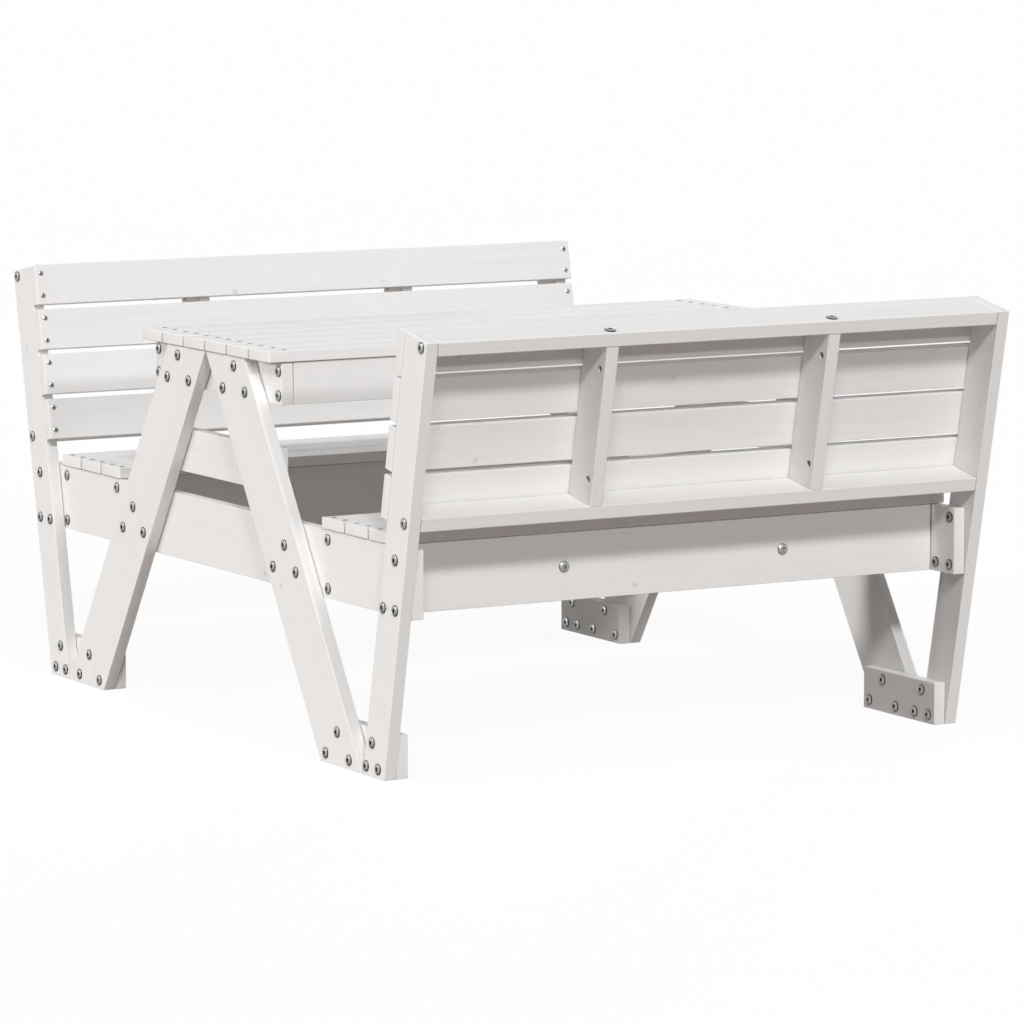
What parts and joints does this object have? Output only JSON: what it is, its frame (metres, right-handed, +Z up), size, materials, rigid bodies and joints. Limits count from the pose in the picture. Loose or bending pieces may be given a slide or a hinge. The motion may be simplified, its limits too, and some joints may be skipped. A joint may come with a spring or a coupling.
{
  "type": "kids picnic table",
  "caption": "Low white wooden picnic table with two fixed benches with slatted backrests, on bolted A-shaped end frames, for children to sit at.",
  "frame": {"origin": "on the floor, below the middle of the table top", "axes": "+Z up, +X along the boards to the right end, +Y from the front bench to the rear bench"},
  "size_m": [0.886, 1.2214, 0.5828],
  "materials": {
    "painted_pine": "thin white satin paint",
    "zinc_plated_steel": "bright zinc"
  },
  "bodies": {
    "root": {"a_leg_left_front": "painted_pine", "a_leg_left_rear": "painted_pine", "a_leg_right_front": "painted_pine", "a_leg_right_rear": "painted_pine", "back_bottom_rail_front": "painted_pine", "back_bottom_rail_rear": "painted_pine", "back_slat_front_1": "painted_pine", "back_slat_front_2": "painted_pine", "back_slat_front_3": "painted_pine", "back_slat_front_4": "painted_pine", "back_slat_rear_1": "painted_pine", "back_slat_rear_2": "painted_pine", "back_slat_rear_3": "painted_pine", "back_slat_rear_4": "painted_pine", "back_top_rail_front": "painted_pine", "back_top_rail_rear": "painted_pine", "back_upright_front_left": "painted_pine", "back_upright_front_right": "painted_pine", "back_upright_rear_left": "painted_pine", "back_upright_rear_right": "painted_pine", "barrel_nuts": "zinc_plated_steel", "connector_bolts": "zinc_plated_steel", "crossbar_left": "painted_pine", "crossbar_right": "painted_pine", "foot_block_left_front": "painted_pine", "foot_block_left_rear": "painted_pine", "foot_block_right_front": "painted_pine", "foot_block_right_rear": "painted_pine", "frame_bolts": "zinc_plated_steel", "frame_nuts": "zinc_plated_steel", "post_left_front": "painted_pine", "post_left_rear": "painted_pine", "post_right_front": "painted_pine", "post_right_rear": "painted_pine", "seat_apron_front_front_edge": "painted_pine", "seat_apron_front_rear_edge": "painted_pine", "seat_apron_rear_front_edge": "painted_pine", "seat_apron_rear_rear_edge": "painted_pine", "seat_bearer_front_left": "painted_pine", "seat_bearer_front_right": "painted_pine", "seat_bearer_rear_left": "painted_pine", "seat_bearer_rear_right": "painted_pine", "seat_board_front_1": "painted_pine", "seat_board_front_2": "painted_pine", "seat_board_front_3": "painted_pine", "seat_board_rear_1": "painted_pine", "seat_board_rear_2": "painted_pine", "seat_board_rear_3": "painted_pine", "seat_rail_left": "painted_pine", "seat_rail_right": "painted_pine", "table_apron_front": "painted_pine", "table_apron_rear": "painted_pine", "table_batten_left": "painted_pine", "table_batten_right": "painted_pine", "table_board_1": "painted_pine", "table_board_2": "painted_pine", "table_board_3": "painted_pine", "table_board_4": "painted_pine", "table_board_5": "painted_pine", "table_board_6": "painted_pine"}
  },
  "joints": []
}
